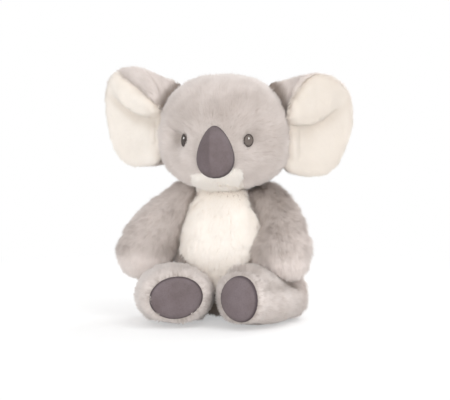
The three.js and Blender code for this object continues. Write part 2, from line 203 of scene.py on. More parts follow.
def plush_pile(name, root_colour, tip_colour, shade_colour):
    """Brushed acrylic pile: matt fibres that are darker and denser at the cloth, partly as painted
    shade deep in the pile, and pale at their worn tips, with a soft sheen where the light grazes
    them and broad, faint darker stains. Painted shade, painted light and dark tufts take each
    strand towards or away from its shade colour. A fibre seen from below lets through the light
    that falls on the pile's outside."""
    material, node = new_material(name)
    place = node("TexCoord")
    marks = ("along", "strand", "pressed")
    along, strand, pressed = (node("Attribute", {"attribute_name": mark}) for mark in marks)
    worn = node("Math", {"operation": "MULTIPLY_ADD"}, {
        0: (strand, "Fac"), 1: WORN_SPREAD, 2: -WORN_SPREAD / 2,
    })
    summed = {"operation": "ADD", "use_clamp": True}
    reach = node("Math", summed, {0: (along, "Fac"), 1: (worn, 0)})
    fibre = node("Mix", MIXED, {0: (reach, 0), 6: linear(root_colour), 7: linear(tip_colour)})
    stain = node("TexNoise", {}, {
        "Vector": (place, "Object"), "Scale": 1 / STAIN_SIZE, "Detail": 2.0, "Roughness": 0.5,
    })
    faint = node("MapRange", {}, {
        "Value": (stain, "Fac"), "From Min": 0.4, "From Max": 0.75, "To Max": 0.2,
    })
    shade = node("Math", summed, {0: (faint, 0), 1: (pressed, "Fac")})
    shaded = node("Mix", MIXED, {0: (shade, 0), 6: (fibre, 2), 7: linear(shade_colour)})
    lit = node("BsdfPrincipled", {}, {
        "Base Color": (shaded, 2), "Roughness": 0.9, "Specular IOR Level": 0.15,
        "Sheen Weight": 0.35, "Sheen Roughness": 0.5,
    })
    through = node("BsdfTranslucent", {}, {"Color": (shaded, 2)})
    surface = node("NewGeometry")
    shader = node("MixShader", {}, {0: (surface, "Backfacing"), 1: (lit, 0), 2: (through, 0)})
    node("OutputMaterial", {}, {"Surface": (shader, 0)})
    return material


SPOT_CELLS, CURRENT_CELLS = 32, 24  # along each side of a random block, after which it repeats
TUFT_SPOTS = rng.random((SPOT_CELLS,) * 3 + (3,))
CURRENTS = rng.normal(size=(CURRENT_CELLS,) * 3 + (3,))


def tuft_centres(points, size):
    """Each point's nearest tuft centre, out of one random spot in each cube of that size."""
    cell = np.floor(points / size).astype(int)
    nearest = np.full(len(points), np.inf)
    centres = np.zeros_like(points)
    for step in np.ndindex(3, 3, 3):
        beside = cell + np.array(step) - 1
        spots = (beside + TUFT_SPOTS[tuple((beside % SPOT_CELLS).T)]) * size
        apart = ((points - spots) ** 2).sum(-1)
        closer = apart < nearest
        nearest = np.where(closer, apart, nearest)
        centres = np.where(closer[:, None], spots, centres)
    return centres


def drift(points, size):
    """Smooth random vectors: one for each corner of a lattice of that size, blended in between.
    The same points moved by whole metres give other vectors."""
    place = points / size
    cell = np.floor(place).astype(int)
    share = smoothstep(0, 1, place - cell)
    total = np.zeros_like(points)
    for corner in np.ndindex(2, 2, 2):
        weight = np.where(np.array(corner) == 1, share, 1 - share).prod(-1)
        total += weight[:, None] * CURRENTS[tuple(((cell + np.array(corner)) % CURRENT_CELLS).T)]
    return total


def flat_part(vectors, normals):
    """The part of each vector that lies in the surface."""
    return vectors - (vectors * normals).sum(-1, keepdims=True) * normals


def roots_on(surface, count):
    """Random points on a surface, even over its area, and the smooth normals there."""
    vertices, quads, triangles = surface
    faces = np.concatenate([quads[:, [0, 1, 2]], quads[:, [0, 2, 3]], triangles])
    a, b, c = (vertices[faces[:, i]] for i in range(3))
    cross = np.cross(b - a, c - a)
    normals = np.zeros_like(vertices)
    for i in range(3):
        np.add.at(normals, faces[:, i], cross)
    area = np.linalg.norm(cross, axis=-1)
    chosen = rng.choice(len(faces), size=count, p=area / area.sum())
    first, second = np.sqrt(rng.random(count)), rng.random(count)
    weights = np.stack([1 - first, first * (1 - second), first * second], -1)
    spots = (vertices[faces[chosen]] * weights[..., None]).sum(1)
    return spots, unit((unit(normals)[faces[chosen]] * weights[..., None]).sum(1))


BLADE_HALF_WIDTH = 0.21 * MM
BEND_UP, BEND_OVER, BEND_IN = 0.58, 0.36, 0.4  # where a blade bends: shares of its way to the tip
STRAY = 0.25 * MM  # how far each tip strays by itself
SHORTEST_SHARE = 0.1
BLADE_FACES = [0, 1, 3, 2], [2, 3, 4]  # a quad from the root to the bend, a triangle to the tip
# The same seven corners in the blade's own square on the bake map, and the square's margin.
BLADE_MAP = [[0, 0], [1, 0], [1, 0.5], [0, 0.5], [0, 0.5], [1, 0.5], [0.5, 1]]
MAP_MARGIN = 0.15


def grow_pile(
    name, surface, count, length, brush, trim, material, pressed, lean=56, tuft=2.8 * MM,
    pull=0.2, curl=0.08,
):
    """Pile on a surface. Each strand is a tapering blade of two lengths, broadside to the light. It
    rises from its root, leans over by the given angle along the brushing, which drifts and curls a
    little, and its tip draws towards the middle of its tuft. Its normal is the cloth's, turned
    outwards from that middle, so that a tuft catches the light as one, and its tone is partly its
    own and partly its tuft's. Trim gives each strand's share of the length, less near the ground,
    and none grows where it is too small. The painted shade and tufts give how far each strand goes
    towards the pile's shade colour: painted shade, darker tufts, and below zero painted light."""
    roots, normals = roots_on(surface, count)
    share = trim(roots, normals) * (0.4 + 0.6 * over_mm(0, 9, roots[:, 2]))
    roots, normals, share = (each[share > SHORTEST_SHARE] for each in (roots, normals, share))
    total = len(roots)
    flow = unit(brush(roots, normals)) + 0.16 * drift(roots, 9 * MM)
    flow = flow + curl * drift(roots + 3, 3 * MM)
    flow[:, 2] *= over_mm(0, 12, roots[:, 2])
    flow = unit(flat_part(flow, normals))
    long = length * share * (0.8 + 0.4 * rng.random(total))
    long = long * (1 + 0.08 * drift(roots + 1, 6 * MM)[:, 0])
    uneven = 0.1 * drift(roots + 2, 5 * MM)[:, 1]
    angle = np.clip(np.radians(lean) * (1 + uneven + 0.12 * rng.normal(size=total)), 0.2, 1.35)
    over, up = flow * (long * np.sin(angle))[:, None], normals * (long * np.cos(angle))[:, None]
    centres = tuft_centres(roots, tuft)
    gather = flat_part(centres - roots, normals) * np.minimum(1, long / length)[:, None]
    middle = roots + BEND_UP * up + BEND_OVER * over + BEND_IN * pull * gather
    tip = roots + up + over + gather * pull + STRAY * rng.normal(size=(total, 3))
    half_width = BLADE_HALF_WIDTH * (0.8 + 0.4 * rng.random(total))[:, None]
    side = unit(np.cross(tip - roots, normals)) * half_width
    blade = [roots - side, roots + side, middle - 0.85 * side, middle + 0.85 * side, tip]
    blade = np.stack(blade, 1)
    blade[..., 2] = np.maximum(blade[..., 2], GROUND)
    quads, triangles = (5 * np.arange(total)[:, None] + face for face in BLADE_FACES)
    piece = make_mesh(name, blade.reshape(-1, 3), quads, triangles, material)
    outward = unit(normals - 0.8 * pull * gather / tuft)
    mark_points(piece, "custom_normal", np.repeat(outward, 5, axis=0))
    mark_points(piece, "along", np.tile([0, 0, 0.55, 0.55, 1], total))
    tone = 0.6 * rng.random(total) + 0.4 * np.modf(centres.sum(-1) / tuft * 7.3)[0] % 1
    mark_points(piece, "strand", np.repeat(tone, 5))
    mark_points(piece, "pressed", np.repeat(pressed(roots) / FULL_SHADE, 5))
    cells = math.ceil(math.sqrt(total))
    corner = np.stack([np.arange(total) % cells, np.arange(total) // cells], -1)[:, None]
    layout = (corner + MAP_MARGIN + (1 - 2 * MAP_MARGIN) * np.array(BLADE_MAP)) / cells
    layout = np.concatenate([layout[:, :4].reshape(-1, 2), layout[:, 4:].reshape(-1, 2)])
    uv_map = piece.data.uv_layers.new(name="OFBake")
    uv_map.data.foreach_set("uv", layout.astype(np.float32).ravel())
    return piece


def backing_cloth(name, colour):
    """Knitted backing between the roots of the pile: matt, and a little darker than the pile's
    roots as painted shade from the fibres above it.
    """
    material, node = new_material(name)
    shader = node("BsdfPrincipled", {}, {
        "Base Color": linear(colour), "Roughness": 0.95, "Specular IOR Level": 0.1,
    })
    node("OutputMaterial", {}, {"Surface": (shader, 0)})
    return material


DOWN = np.array([0.0, 0.0, -1.0])
grey_pile = plush_pile("grey_plush_pile", "#d3c9c3", "#e6deda", "#746355")
grey_backing = backing_cloth("grey_plush_backing", "#c4bab4")
cream_pile = plush_pile("cream_plush_pile", "#f3ece4", "#faf6f1", "#e0d8cf")
cream_backing = backing_cloth("cream_plush_backing", "#ece3d8")

torso_form = {
    "middle": np.array([0, 0, 54.5]) * MM,
    "half": np.array([39, 33, 55]) * MM,
    "fullness": 2.5,
    "taper": 0.24,
    "bumps": [],
}
muzzle_way = np.array([0, -math.cos(math.radians(20)), -math.sin(math.radians(20))])
head_form = {
    "middle": np.array([0, -4, 146.5]) * MM,
    "half": np.array([51, 41, 45]) * MM,
    "fullness": 2.35,
    "taper": 0.05,
    "bumps": [
        (muzzle_way, 12 * MM, math.radians(27)),
        (unit(np.array([1, -0.35, -0.2])), 3.5 * MM, math.radians(24)),  # the fuller left cheek
    ],
}
BELLY_TURN = math.radians(-3.5)
BELLY_HALF_WIDTHS = [  # the half width and the height that it has it at, in mm
    (0, 26), (8, 31), (16, 37), (22, 46), (30.5, 57), (32.5, 67), (32.7, 76), (26, 88),
    (21.4, 99), (18.6, 110),
]
BELLY_MIDDLES = [(0, 31), (0.3, 45), (-0.8, 57), (-2, 67), (-2.9, 76), (-3.8, 88), (-3.8, 110)]


def read_off(outline, height):
    """A distance at a height, read off an outline of distances and heights in mm."""
    distances, heights = zip(*outline)
    return np.interp(height, np.array(heights) * MM, np.array(distances) * MM)


def belly_half_width(height):
    """Half the belly panel's width at a height."""
    return read_off(BELLY_HALF_WIDTHS, height)


def belly_side(points):
    """How far points are to the side of the belly panel's own middle line, which bends."""
    turned = points[..., 0] * math.cos(BELLY_TURN) + points[..., 1] * math.sin(BELLY_TURN)
    return turned - read_off(BELLY_MIDDLES, points[..., 2])


torso_skin = skin(form_points(torso_form, directions(48, 72), -PILE_DEPTH))
torso_skin[0][:, 2] = np.maximum(torso_skin[0][:, 2], 2 * GROUND)  # flat where it sits


def torso_trim(roots, normals):
    """No pile on the belly panel or under the head, and short pile where the toy sits on it."""
    on_belly = (roots[:, 1] < 0) & (np.abs(belly_side(roots)) < belly_half_width(roots[:, 2]))
    in_head = depth_inside(head_form, roots) > 9 * MM
    return np.where(on_belly | in_head, 0, np.where(normals[:, 2] < -0.9, 0.3, 1.0))


def close_to(form, points):
    """One at a form's surface, falling to nothing 6 mm away from it."""
    return over_mm(-6, 0, depth_inside(form, points))


def torso_painted_shade(roots):
    """Painted shade on the pile beside the belly panel, where the arms lie on it, and low between
    the legs."""
    beside = np.abs(belly_side(roots)) - belly_half_width(roots[:, 2])
    front = over_mm(0, -15, roots[:, 1])
    low = 1.2 * over_mm(36, 22, roots[:, 2])
    return front * np.maximum(0.75 * over_mm(8, 2, beside), low)


torso_cloth = make_mesh("torso_cloth", *torso_skin, grey_backing)
torso_pile = grow_pile(
    "torso_pile", torso_skin, 60000, 6.4 * MM,
    lambda roots, normals: DOWN, torso_trim, grey_pile, pressed=torso_painted_shade,
)
for piece in (torso_cloth, torso_pile):
    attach(piece, "torso")
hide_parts("torso_cover", "torso_filling", "pellet_bag")


# Belly panel. A leaf of cream plush of the same make, set into the torso's front from the throat
# to a point between the legs. Its pile is brushed down and hides the seam on both sides.
def panel_points(half_width, low, high, surface_at, rows=44, columns=36):
    """A patch on a form, drawn row by row from low to high: across each row its half width, and in
    depth where the form lies. It stands a little proud, and its edges dive under."""
    v, u = np.meshgrid(np.linspace(0, 1, rows), np.linspace(-1, 1, columns), indexing="ij")
    height = low + (high - low) * v
    return surface_at(u * half_width(height), height, u, v)


def form_front(form, side, height):
    """The front surface of a form at a place across and a height, found by halving along the
    depth, from the form's middle out to twice its half depth."""
    near = np.zeros_like(side) + form["middle"][1]
    far = near - 2 * form["half"][1]
    for _ in range(22):
        middle = (near + far) / 2
        points = np.stack([side, middle, height], -1)
        inside = depth_inside(form, points.reshape(-1, 3)).reshape(side.shape) > 0
        near, far = np.where(inside, middle, near), np.where(inside, far, middle)
    return np.stack([side, near, height], -1)


def open_grid(points):
    """Vertices and faces of a grid that is open on all sides."""
    rows, columns = points.shape[:2]
    index = np.arange(rows * columns).reshape(rows, columns)
    quads = np.stack([index[:-1, :-1], index[:-1, 1:], index[1:, 1:], index[1:, :-1]], -1)
    return points.reshape(-1, 3), quads.reshape(-1, 4), np.zeros((0, 3), int)


def shrunk(form, depth):
    """The same form with its half sizes less by a depth."""
    return {**form, "half": form["half"] - depth}


def belly_surface(side, height, u, v):
    """The belly panel: the front of the torso's cloth, turned with the panel, 0.6 mm proud and
    tucked 1.2 mm under at its edges."""
    cloth = shrunk(torso_form, PILE_DEPTH)
    across = side + read_off(BELLY_MIDDLES, height)
    across = across * math.cos(BELLY_TURN) + cloth["half"][1] * math.sin(BELLY_TURN)
    points = form_front(cloth, across, height)
    edge = np.maximum(np.abs(u), np.abs(2 * v - 1)) ** 8
    points[..., 1] -= 0.6 * MM - 1.8 * MM * edge
    return points


def belly_painted_shade(roots):
    """Painted shade, deeper the lower the pile grows, and painted light under the throat, where the
    chin shades it.
    """
    low = 0.8 * over_mm(58, 34, roots[:, 2])
    return low - 0.3 * over_mm(86, 98, roots[:, 2])


belly_skin = open_grid(panel_points(belly_half_width, 27 * MM, 101 * MM, belly_surface))
belly_cloth = make_mesh("belly_cloth", *belly_skin, cream_backing)
belly_pile = grow_pile(
    "belly_pile", belly_skin, 34000, 6.2 * MM,
    lambda roots, normals: DOWN, lambda roots, normals: np.ones(len(roots)), cream_pile,
    tuft=4.2 * MM, pull=0.22, curl=0.18, pressed=belly_painted_shade,
)
for piece in (belly_cloth, belly_pile):
    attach(piece, "torso")
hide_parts("belly_panel")


# Head. A broad stuffed dome of the same grey plush, with the muzzle pushed out low in front. The
# pile is brushed away from the nose, up over the crown and back along the cheeks, and sinks into
# shallow dimples where the eyes are sewn through.
EYE_SIDES = {1: 24.4 * MM, -1: 26.5 * MM}  # of the left eye and the right one
EYE_HEIGHT = 141 * MM
NOSE_HEIGHT = 135.3 * MM
EYE_HALF = np.array([3.3, 4.9]) * MM
CHIN_LOW, CHIN_HIGH = 102 * MM, 119.3 * MM
CHIN_SLOPE = 0.14  # upwards to the left corner
CHIN_SHIFT = 1.5 * MM  # to the right


def chin_level(side, height):
    """Heights on the chin panel, which is turned a little."""
    return height - CHIN_SLOPE * side


def chin_half_width(height):
    """Half the chin panel's width at a height: a little wider upwards, with rounded corners."""
    share = (height - CHIN_LOW) / (CHIN_HIGH - CHIN_LOW)
    corner = np.maximum(0.02, 1 - (np.abs(share - 0.48) / 0.56) ** 5) ** 0.2
    return (18.6 + 2 * share) * MM * corner


def past_chin_middle(side):
    """How far to the side of the chin panel's middle line a place is."""
    return side + CHIN_SHIFT


def from_nose(side, height):
    """How far places across the face are from the nose's middle, where one is its sewn edge."""
    return np.hypot(side / (15.3 * MM), (height - NOSE_HEIGHT + 2 * MM) / (20.8 * MM))


def past_eye(side):
    """How far outwards of its eye's middle a place across the face is."""
    return np.abs(side) - np.where(side > 0, EYE_SIDES[1], EYE_SIDES[-1])


def face_drawn_in(side, height):
    """How deep the face is drawn in by the eyes' thread: a soft dimple outside of each eye, so that
    the eye itself faces outwards, deeper on the right, and there a fold above the eye too."""
    apart = np.hypot((past_eye(side) - 4.5 * MM) / (8.5 * MM), (height - EYE_HEIGHT) / (9.5 * MM))
    deep = np.where(side < 0, 6.4, 4.2) * MM * bell(apart)
    along, off = side + 31 * MM, height - EYE_HEIGHT - 6 * MM
    fold = np.exp(-(((off + 0.75 * along) / (1.8 * MM)) ** 2) - (along / (4.5 * MM)) ** 2)
    return deep + 2 * MM * fold


head_points = form_points(head_form, directions(84, 132), -PILE_DEPTH)
head_front = over_mm(-5, -15, head_points[..., 1])
head_points[..., 1] += head_front * face_drawn_in(head_points[..., 0], head_points[..., 2])
head_skin = skin(head_points)
nose_spot = np.array([0, -56, NOSE_HEIGHT / MM - 3]) * MM


def head_brush(roots, normals):
    """Away from the nose, and a little down at the back of the head."""
    back = over_mm(-10, 30, roots[:, 1])[:, None]
    return unit(roots - nose_spot) * (1 - back) + (DOWN + 0.3 * unit(roots - nose_spot)) * back


def head_trim(roots, normals):
    """No pile under the nose, the eyes and the chin panel, or on the torso. It is short beside the
    eyes and the nose."""
    front = roots[:, 1] < 0
    side, height = roots[:, 0], roots[:, 2]
    level = chin_level(side, height)
    on_chin = front & (level < CHIN_HIGH) & (level > CHIN_LOW)
    on_chin &= np.abs(past_chin_middle(side)) < chin_half_width(level) - 1 * MM
    nose = from_nose(side, height)
    eye = np.hypot((past_eye(side) + 0.9 * MM) / EYE_HALF[0], (height - EYE_HEIGHT) / EYE_HALF[1])
    short = smoothstep(1, 2.6, eye) * smoothstep(0.75, 1.35, nose)
    short = np.where(front, 0.28 + 0.72 * short, 1)
    bare = on_chin | (front & ((nose < 0.8) | (eye < 1.12)))
    bare |= depth_inside(torso_form, roots) > 6 * MM
    under_chin = (height < CHIN_LOW + 2 * MM) & (np.abs(past_chin_middle(side)) < 20 * MM)
    bare |= front & under_chin
    return np.where(bare, 0, short)


# The ends of the short folds above the right eye, to the side and in height, in mm.
EYE_FOLDS = [((-30.5, 148.6), (-26.4, 145.2)), ((-23.6, 152.5), (-23.2, 149.8))]


def off_line(side, height, start, finish):
    """How far places across the face are from a line between two places, in mm."""
    start, way = np.array(start), np.array(finish) - np.array(start)
    away = np.stack([side, height], -1) / MM - start
    along = np.clip((away @ way) / (way @ way), 0, 1)
    return np.linalg.norm(away - along[:, None] * way, axis=-1)


def head_painted_shade(roots):
    """Painted shade on the pile: most on the forehead, a little over the face, more on the left
    cheek, and in the right eye's dimple and the short folds above it, at the nose's seam and at the
    throat."""
    side, height = roots[:, 0], roots[:, 2]
    apart = np.hypot(side / (34 * MM), (height - 158 * MM) / (20 * MM))
    dimple = np.hypot((side + 30 * MM) / (3 * MM), (height - EYE_HEIGHT) / (6.5 * MM))
    folds = [off_line(side, height, *ends) for ends in EYE_FOLDS]
    front = over_mm(0, -20, roots[:, 1])
    seam = 0.3 * smoothstep(1.08, 0.98, from_nose(side, height))
    throat = 0.4 * close_to(torso_form, roots)
    cheek = 0.08 + 0.14 * over_mm(5, 35, side)
    cheek = cheek * over_mm(114, 130, height)
    spots = cheek + 0.33 * bell(apart) + 0.5 * bell(dimple)
    folded = 0.5 * bell(np.min(folds, axis=0) / 0.8)
    return np.maximum(front * np.maximum(np.maximum(spots, seam), folded), throat)


head_cloth = make_mesh("head_cloth", *head_skin, grey_backing)
head_pile = []
for name, toward in (("head_pile_front", -1), ("head_pile_back", 1)):

    def half_trim(roots, normals):
        """The trim of the head's front or back half alone, which meet 5 mm ahead of its middle."""
        return np.where(toward * (roots[:, 1] + 5 * MM) > 0, head_trim(roots, normals), 0)

    head_pile.append(grow_pile(
        name, head_skin, 128000, 6.6 * MM, head_brush, half_trim, grey_pile,
        pull=0.24, curl=0.16, pressed=head_painted_shade,
    ))
for piece in (head_cloth, *head_pile):
    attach(piece, "head")
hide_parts("head_cover", "head_filling")


# Chin panel. A crescent of cream plush under the nose, sewn into the head's underside so that its
# corners rise beside the nose. Its pile is brushed down over the throat.
def chin_surface(side, height, u, v):
    """The chin panel: the front of the head's cloth, padded out to 3 mm at its top and 12 mm at its
    bottom, and tucked 1 mm under at its edges."""
    side = 2 * side - past_chin_middle(side)
    points = form_front(shrunk(head_form, PILE_DEPTH), side, 2 * height - chin_level(side, height))
    edge = np.maximum(np.abs(u), np.abs(2 * v - 1)) ** 3
    points[..., 1] -= (3 + 9 * (1 - v)) * MM * (1 - edge) - 1 * MM * edge
    return points


chin_skin = open_grid(panel_points(chin_half_width, CHIN_LOW, CHIN_HIGH, chin_surface, 20, 36))


def chin_trim(roots, normals):
    """The pile is short close under the nose and towards the panel's lower corners."""
    nose = from_nose(roots[:, 0], roots[:, 2])
    level = chin_level(roots[:, 0], roots[:, 2])
    corner = np.abs(past_chin_middle(roots[:, 0])) / chin_half_width(level)
    short = smoothstep(0.8, 1.4, nose) * (1 - 0.5 * smoothstep(0.7, 1, corner))
    return np.where(nose < 0.8, 0, 0.35 + 0.65 * short)


chin_cloth = make_mesh("chin_cloth", *chin_skin, cream_backing)
chin_pile = grow_pile(
    "chin_pile", chin_skin, 12000, 6.4 * MM,
    lambda roots, normals: DOWN + 0.04 * roots / MM * [1, 0, 0], chin_trim, cream_pile,
    # The whole chin pile gets painted light, cancelling its faint stains where it faces down into
    # shade.
    lean=48, curl=0.3, pressed=lambda roots: np.full(len(roots), -0.3),
)
for piece in (chin_cloth, chin_pile):
    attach(piece, "head")
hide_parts("chin_panel")


# Nose. A large egg of dark grey microsuede, point up, cut in two halves with a dart down the
# middle, stuffed firmly and sewn on round its edge, where the cloth puckers a little.
STROKE_SIZE = 14 * MM
GRAIN_SIZE = 0.9 * MM  # the real nap's is about 0.5 mm, which is too fine to show
NAP_HEIGHT = 0.25 * MM


def smooth_suede(name, colour, worn_colour, dark_colour, seam_colour):
    """Microsuede: a very short, dense nap with no gloss. Its fine grain barely shows, a soft sheen
    pales its turned edges, stroking it leaves broad faint patches, and its seam mark paints shade
    into the fold of its seam."""
    material, node = new_material(name)
    place = node("TexCoord")
    seam = node("Attribute", {"attribute_name": "seam"})
    stroke, grain = (
        node("TexNoise", {}, {
            "Vector": (place, "Object"), "Scale": 1 / size, "Detail": detail, "Roughness": rough,
        })
        for size, detail, rough in ((STROKE_SIZE, 3.0, 0.6), (GRAIN_SIZE, 2.0, 0.7))
    )
    patch = node("MapRange", {}, {"Value": (stroke, "Fac"), "From Min": 0.35, "From Max": 0.7})
    speck = node("MapRange", {}, {
        "Value": (grain, "Fac"), "From Min": 0.45, "From Max": 0.8, "To Max": 0.5,
    })
    tone = node("Mix", MIXED, {0: (patch, 0), 6: linear(colour), 7: linear(worn_colour)})
    cloth = node("Mix", MIXED, {0: (speck, 0), 6: (tone, 2), 7: linear(dark_colour)})
    edged = node("Mix", MIXED, {0: (seam, "Fac"), 6: (cloth, 2), 7: linear(seam_colour)})
    raised = node("Bump", {}, {
        "Height": (grain, "Fac"), "Strength": 0.35, "Distance": NAP_HEIGHT,
    })
    shader = node("BsdfPrincipled", {}, {
        "Base Color": (edged, 2), "Normal": (raised, 0), "Roughness": 0.92,
        "Specular IOR Level": 0.15, "Sheen Weight": 0.1, "Sheen Roughness": 0.45,
    })
    node("OutputMaterial", {}, {"Surface": (shader, 0)})
    return material


suede = smooth_suede("grey_microsuede", "#6f6465", "#7c7174", "#5d5253", "#51474a")
nose_form = {
    "middle": np.zeros(3),
    "half": np.array([14.3, 10, 20.6]) * MM,
    "fullness": 2,
    "taper": 0.3,
    "bumps": [],
}
nose_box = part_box("nose_cover")
nose_way = directions(56, 96)
nose_points = form_points(nose_form, nose_way, 0)
off_dart = nose_points[..., 0] + 2.6 * MM  # the dart is sewn a little right of the middle
keel = np.exp(-np.abs(off_dart) / (5 * MM)) * smoothstep(0, -0.8, nose_way[..., 1])
nose_points[..., 1] -= 2 * MM * keel
rim = bell((nose_way[..., 1] + 0.1) / 0.25)
pucker = np.sin(np.arctan2(nose_way[..., 2], nose_way[..., 0]) * 37) * rim
nose_points *= (1 - 0.03 * rim + 0.006 * pucker)[..., None]


def turn_in_plane(angle, points, first, second):
    """Points turned by an angle in the plane of two axes, from the first towards the second."""
    turned, a, b = points.copy(), points[..., first], points[..., second]
    turned[..., first] = a * math.cos(angle) - b * math.sin(angle)
    turned[..., second] = a * math.sin(angle) + b * math.cos(angle)
    return turned


nose_points = turn_in_plane(math.radians(3.5), nose_points, 0, 2)
nose_points = turn_in_plane(math.radians(-8), nose_points, 1, 2)
nose_front = nose_box[0].y - nose_points[..., 1].min()
nose_points = nose_points + [0, nose_front, (nose_box[0].z + nose_box[1].z) / 2]
nose_skin = skin(nose_points)
nose = make_mesh("nose_suede", *nose_skin, suede)
# Painted shade in the fold of the nose's seam, at its back where it is sewn on, and on its right
# half.
nose_seam = smoothstep(-0.22, -0.06, nose_way[..., 1])
darker_half = 0.24 * over_mm(1, -1, off_dart)  # painted shade on the right half, right of the dart
nose_seam = np.maximum(nose_seam, darker_half)
mark_points(nose, "seam", np.concatenate([nose_seam[1:-1].ravel(), nose_seam[[0, -1], 0]]))
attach(nose, "head")
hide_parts("nose_cover", "nose_filling")


# Eyes. Upright satin stitch in grey-brown embroidery thread over an oval, inside a darker outline
# stitch, with a small glint of white stitches laid over its upper part.
TWIST_SIZE = 0.4 * MM
THREAD_SIDES = 6


def thread_gloss(name, colour, dark_colour):
    """Twisted rayon embroidery thread: smooth and a little silky along its length, with darker
    furrows where its turns meet."""
    material, node = new_material(name)
    place = node("TexCoord")
    twist = node("TexNoise", {}, {
        "Vector": (place, "Object"), "Scale": 1 / TWIST_SIZE, "Detail": 2.0,
    })
    tone = node("Mix", MIXED, {
        0: (twist, "Fac"), 6: linear(colour), 7: linear(dark_colour),
    })
    shader = node("BsdfPrincipled", {}, {
        "Base Color": (tone, 2), "Roughness": 0.5, "Specular IOR Level": 0.35, "Sheen Weight": 0.1,
    })
    node("OutputMaterial", {}, {"Surface": (shader, 0)})
    return material


iris_thread = thread_gloss("grey_brown_thread", "#7b706a", "#61564f")
outline_thread = thread_gloss("dark_brown_thread", "#4a403b", "#352c29")
white_thread = thread_gloss("white_thread", "#ffffff", "#f0eee9")


def tubes(lines, radius):
    """Threads: tubes of one radius along many lines at once, round in section, drawn in to nothing
    at both ends. Lines are threads by steps by 3. Each closes on itself and at its ends."""
    count, steps = lines.shape[:2]
    along = unit(np.gradient(lines, axis=1))
    side = unit(np.cross(along, [0.13, -1.0, 0.07]))
    other = np.cross(along, side)
    turn = 2 * math.pi * np.arange(THREAD_SIDES) / THREAD_SIDES
    share = np.linspace(-1, 1, steps)
    width = radius * np.sqrt(np.maximum(0.02, 1 - np.abs(share) ** 10))
    ring = np.cos(turn)[:, None] * side[:, :, None] + np.sin(turn)[:, None] * other[:, :, None]
    points = lines[:, :, None] + ring * width[:, None, None]
    index = np.arange(count * steps * THREAD_SIDES).reshape(count, steps, THREAD_SIDES)
    beside = np.roll(index, -1, axis=2)
    quads = np.stack([index[:, :-1], beside[:, :-1], beside[:, 1:], index[:, 1:]], -1)
    ends = index.size + np.arange(2 * count).reshape(count, 2, 1) + 0 * turn.astype(int)
    start = np.stack([ends[:, 0], beside[:, 0], index[:, 0]], -1)
    finish = np.stack([ends[:, 1], index[:, -1], beside[:, -1]], -1)
    vertices = np.concatenate([points.reshape(-1, 3), lines[:, [0, -1]].reshape(-1, 3)])
    fans = np.concatenate([start.reshape(-1, 3), finish.reshape(-1, 3)])
    return vertices, quads.reshape(-1, 4), fans


def on_face(side, height, proud):
    """Points on the head's solid, drawn in as its cloth is, and stood proud of it."""
    points = form_front(head_form, side, height)
    points[..., 1] += face_drawn_in(side, height) - proud
    return points


def stitches(middle_side, middle_height, half, count, proud):
    """Satin stitch over an oval: upright threads side by side, each bulging between its ends, which
    dip into the cloth."""
    across = np.linspace(-0.95, 0.95, count)
    tall = np.sqrt(1 - across**2)
    share = np.linspace(-1, 1, 13)
    side = middle_side + half[0] * across[:, None] + 0 * share
    height = middle_height + half[1] * tall[:, None] * share
    crown = np.sqrt(np.maximum(0, 1 - share**2)) * tall[:, None] * 0.9 * MM
    return on_face(side, height, proud + crown)


OUTLINE_STITCHES = 26


def outline_stitches(middle_side, middle_height, half, proud):
    """The outline: a close round of short stitches, each a tenth of the round long and overlapping
    the next, from inside the line to outside it."""
    start = 2 * math.pi * np.arange(OUTLINE_STITCHES) / OUTLINE_STITCHES
    turn = start[:, None] + np.linspace(0, 2.6 * 2 * math.pi / OUTLINE_STITCHES, 7)
    slip = np.linspace(0.9, 1.06, 7)
    side = middle_side + half[0] * np.cos(turn) * slip
    height = middle_height + half[1] * np.sin(turn) * slip
    return on_face(side, height, proud + 0 * side)


# The right eye's satin stitch is in the darker outline thread: painted shade of the deep dimple it
# sits in.
EYE_LOOKS = (("left", 1, 1, iris_thread), ("right", -1, 0.66, outline_thread))
for name, sign, narrowed, thread in EYE_LOOKS:
    middle = sign * EYE_SIDES[sign]
    half, glint_half = EYE_HALF * [narrowed, 1], np.array([0.5, 0.9]) * MM
    iris = stitches(middle, EYE_HEIGHT, 0.86 * half, 17, -0.3 * MM)
    outline = outline_stitches(middle, EYE_HEIGHT, 0.93 * half, -0.1 * MM)
    glint = stitches(middle + 0.3 * MM, EYE_HEIGHT + 1.6 * MM, glint_half, 4, 0.4 * MM)
    eye = make_mesh(f"eye_stitches_{name}", *tubes(iris, 0.26 * MM), thread)
    ring = make_mesh(f"eye_outline_{name}", *tubes(outline, 0.32 * MM), outline_thread)
    spark = make_mesh(f"eye_glint_stitches_{name}", *tubes(glint, 0.2 * MM), white_thread)
    for piece, finish in ((eye, "dark_thread"), (ring, "dark_thread"), (spark, "white_thread")):
        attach(piece, "head")
    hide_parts(f"eye_{name}")
    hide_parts(f"eye_glint_{name}")


# Ears. Each is a shallow funnel of grey plush at the back and a dished panel of cream plush in
# front, sewn together round the rim, turned, gathered at the root and sewn into the head's side.
EAR_HALF_WIDTH, EAR_HALF_HEIGHT = 28.5 * MM, 39.5 * MM
EAR_DEPTH, EAR_ROOT_IN, EAR_SEWN_IN = 21 * MM, 23 * MM, 12 * MM
EAR_INSET, EAR_RIM_BACK = 2.4 * MM, 3 * MM  # of the cloth under the pile, at the rim
EAR_ROOT_HALF_WIDTH, EAR_ROOT_HALF_HEIGHT = 9 * MM, 31 * MM
EAR_TILT = 10  # degrees


def ear_frame(look):
    """Middle of the ear's dish, and its directions across, up and out of the dish."""
    sign = look["sign"]
    facing_angle = sign * math.radians(25)
    middle = np.array([sign * (51 + look["out"]), -3, 146.5 + look["rise"]]) * MM
    facing = np.array([math.sin(facing_angle), -math.cos(facing_angle), 0])
    across = sign * np.array([math.cos(facing_angle), math.sin(facing_angle), 0])
    return middle, across, np.array([0, 0, 1.0]), facing


